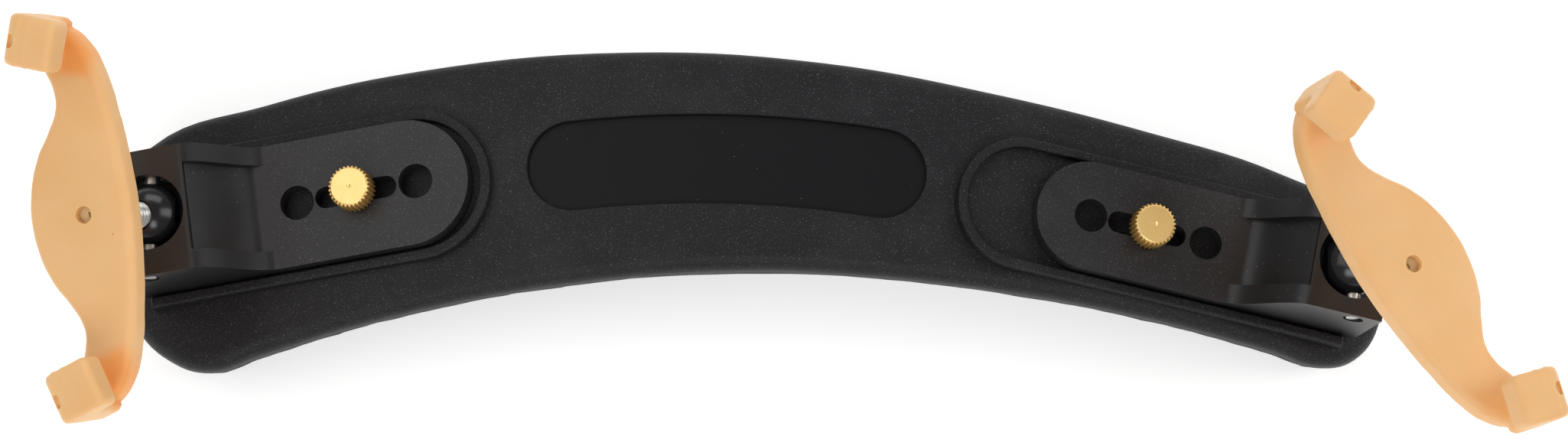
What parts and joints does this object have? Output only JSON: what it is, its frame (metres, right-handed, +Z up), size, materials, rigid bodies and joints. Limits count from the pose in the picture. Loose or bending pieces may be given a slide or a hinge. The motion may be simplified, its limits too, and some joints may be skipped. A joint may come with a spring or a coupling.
{
  "type": "violin shoulder rest",
  "caption": "Arched foam-backed shoulder rest with two sliding brackets on brass thumb screws and folding, height-adjustable rubber forks that clip on a violin.",
  "frame": {"origin": "middle of the whole rest's box in plan, on the plane that the foam's two ends stand on", "axes": "+X along the rest towards the fork that is turned further, +Y towards the convex long edge, +Z up from the shoulder to the violin"},
  "size_m": [0.197, 0.0542, 0.0539],
  "materials": {
    "base plastic": "fine grained satin black moulding",
    "bracket plastic": "satin black moulding, blasted on the flat plate and smooth on the cradle",
    "ball plastic": "glossy black",
    "foam": "closed-cell black foam",
    "adhesive": "thin double-sided adhesive sheet",
    "brass": "turned, with a fine knurl",
    "steel": "plated",
    "rubber": "translucent peach rubber, satin"
  },
  "bodies": {
    "base": {"base_shell": "base plastic", "foam_pad": "foam", "pad_adhesive": "adhesive", "insert_nut_left": "brass", "insert_nut_right": "brass"},
    "bracket_left": {"slide_bracket_left": "bracket plastic", "pivot_pin_left_front": "steel", "pivot_pin_left_rear": "steel"},
    "screw_left": {"thumb_screw_left": "brass"},
    "knuckle_left": {"knuckle_left": "ball plastic"},
    "post_left": {"foot_stud_left": "steel"},
    "foot_left": {"foot_frame_left": "steel", "foot_rubber_left": "rubber"},
    "bracket_right": {"slide_bracket_right": "bracket plastic", "pivot_pin_right_front": "steel", "pivot_pin_right_rear": "steel"},
    "screw_right": {"thumb_screw_right": "brass"},
    "knuckle_right": {"knuckle_right": "ball plastic"},
    "post_right": {"foot_stud_right": "steel"},
    "foot_right": {"foot_frame_right": "steel", "foot_rubber_right": "rubber"}
  },
  "joints": [
    {"name": "left_bracket_slide", "type": "slide", "parent": "base", "child": "bracket_left", "axis": [-0.9719, -0.14, -0.1893], "range_m": [-0.0007, 0.004]},
    {"name": "left_thumb_turn", "type": "hinge", "parent": "base", "child": "screw_left", "pos_m": [-0.05582, 0.00816, 0.01805], "axis": [-0.1912, 0, 0.9815], "range_deg": [0, 720]},
    {"name": "left_fold", "type": "hinge", "parent": "bracket_left", "child": "knuckle_left", "pos_m": [-0.08287, 0.00453, 0.02276], "axis": [0, 1, 0], "range_deg": [-30, 50]},
    {"name": "left_foot_height", "type": "slide", "parent": "knuckle_left", "child": "post_left", "axis": [-0.3356, -0.1925, 0.9221], "range_m": [-0.00161, 0.00641]},
    {"name": "left_foot_turn", "type": "hinge", "parent": "post_left", "child": "foot_left", "pos_m": [-0.08287, 0.00453, 0.02276], "axis": [-0.3356, -0.1925, 0.9221], "range_deg": [-720, 2880]},
    {"name": "right_bracket_slide", "type": "slide", "parent": "base", "child": "bracket_right", "axis": [0.9625, -0.1958, -0.1875], "range_m": [-0.0036, 0.004]},
    {"name": "right_thumb_turn", "type": "hinge", "parent": "base", "child": "screw_right", "pos_m": [0.04718, 0.00315, 0.01793], "axis": [0.1912, 0, 0.9815], "range_deg": [0, 720]},
    {"name": "right_fold", "type": "hinge", "parent": "bracket_right", "child": "knuckle_right", "pos_m": [0.07398, -0.00192, 0.02269], "axis": [0, -1, 0], "range_deg": [-30, 50]},
    {"name": "right_foot_height", "type": "slide", "parent": "knuckle_right", "child": "post_right", "axis": [0.3076, -0.1874, 0.9329], "range_m": [-0.00161, 0.00641]},
    {"name": "right_foot_turn", "type": "hinge", "parent": "post_right", "child": "foot_right", "pos_m": [0.07398, -0.00192, 0.02269], "axis": [0.3076, -0.1874, 0.9329], "range_deg": [-720, 2880]}
  ],
  "couplings": [
    {"joint": "left_foot_height", "follows": "left_foot_turn", "m_per_rad": 0.00012732},
    {"joint": "right_foot_height", "follows": "right_foot_turn", "m_per_rad": 0.00012732}
  ]
}
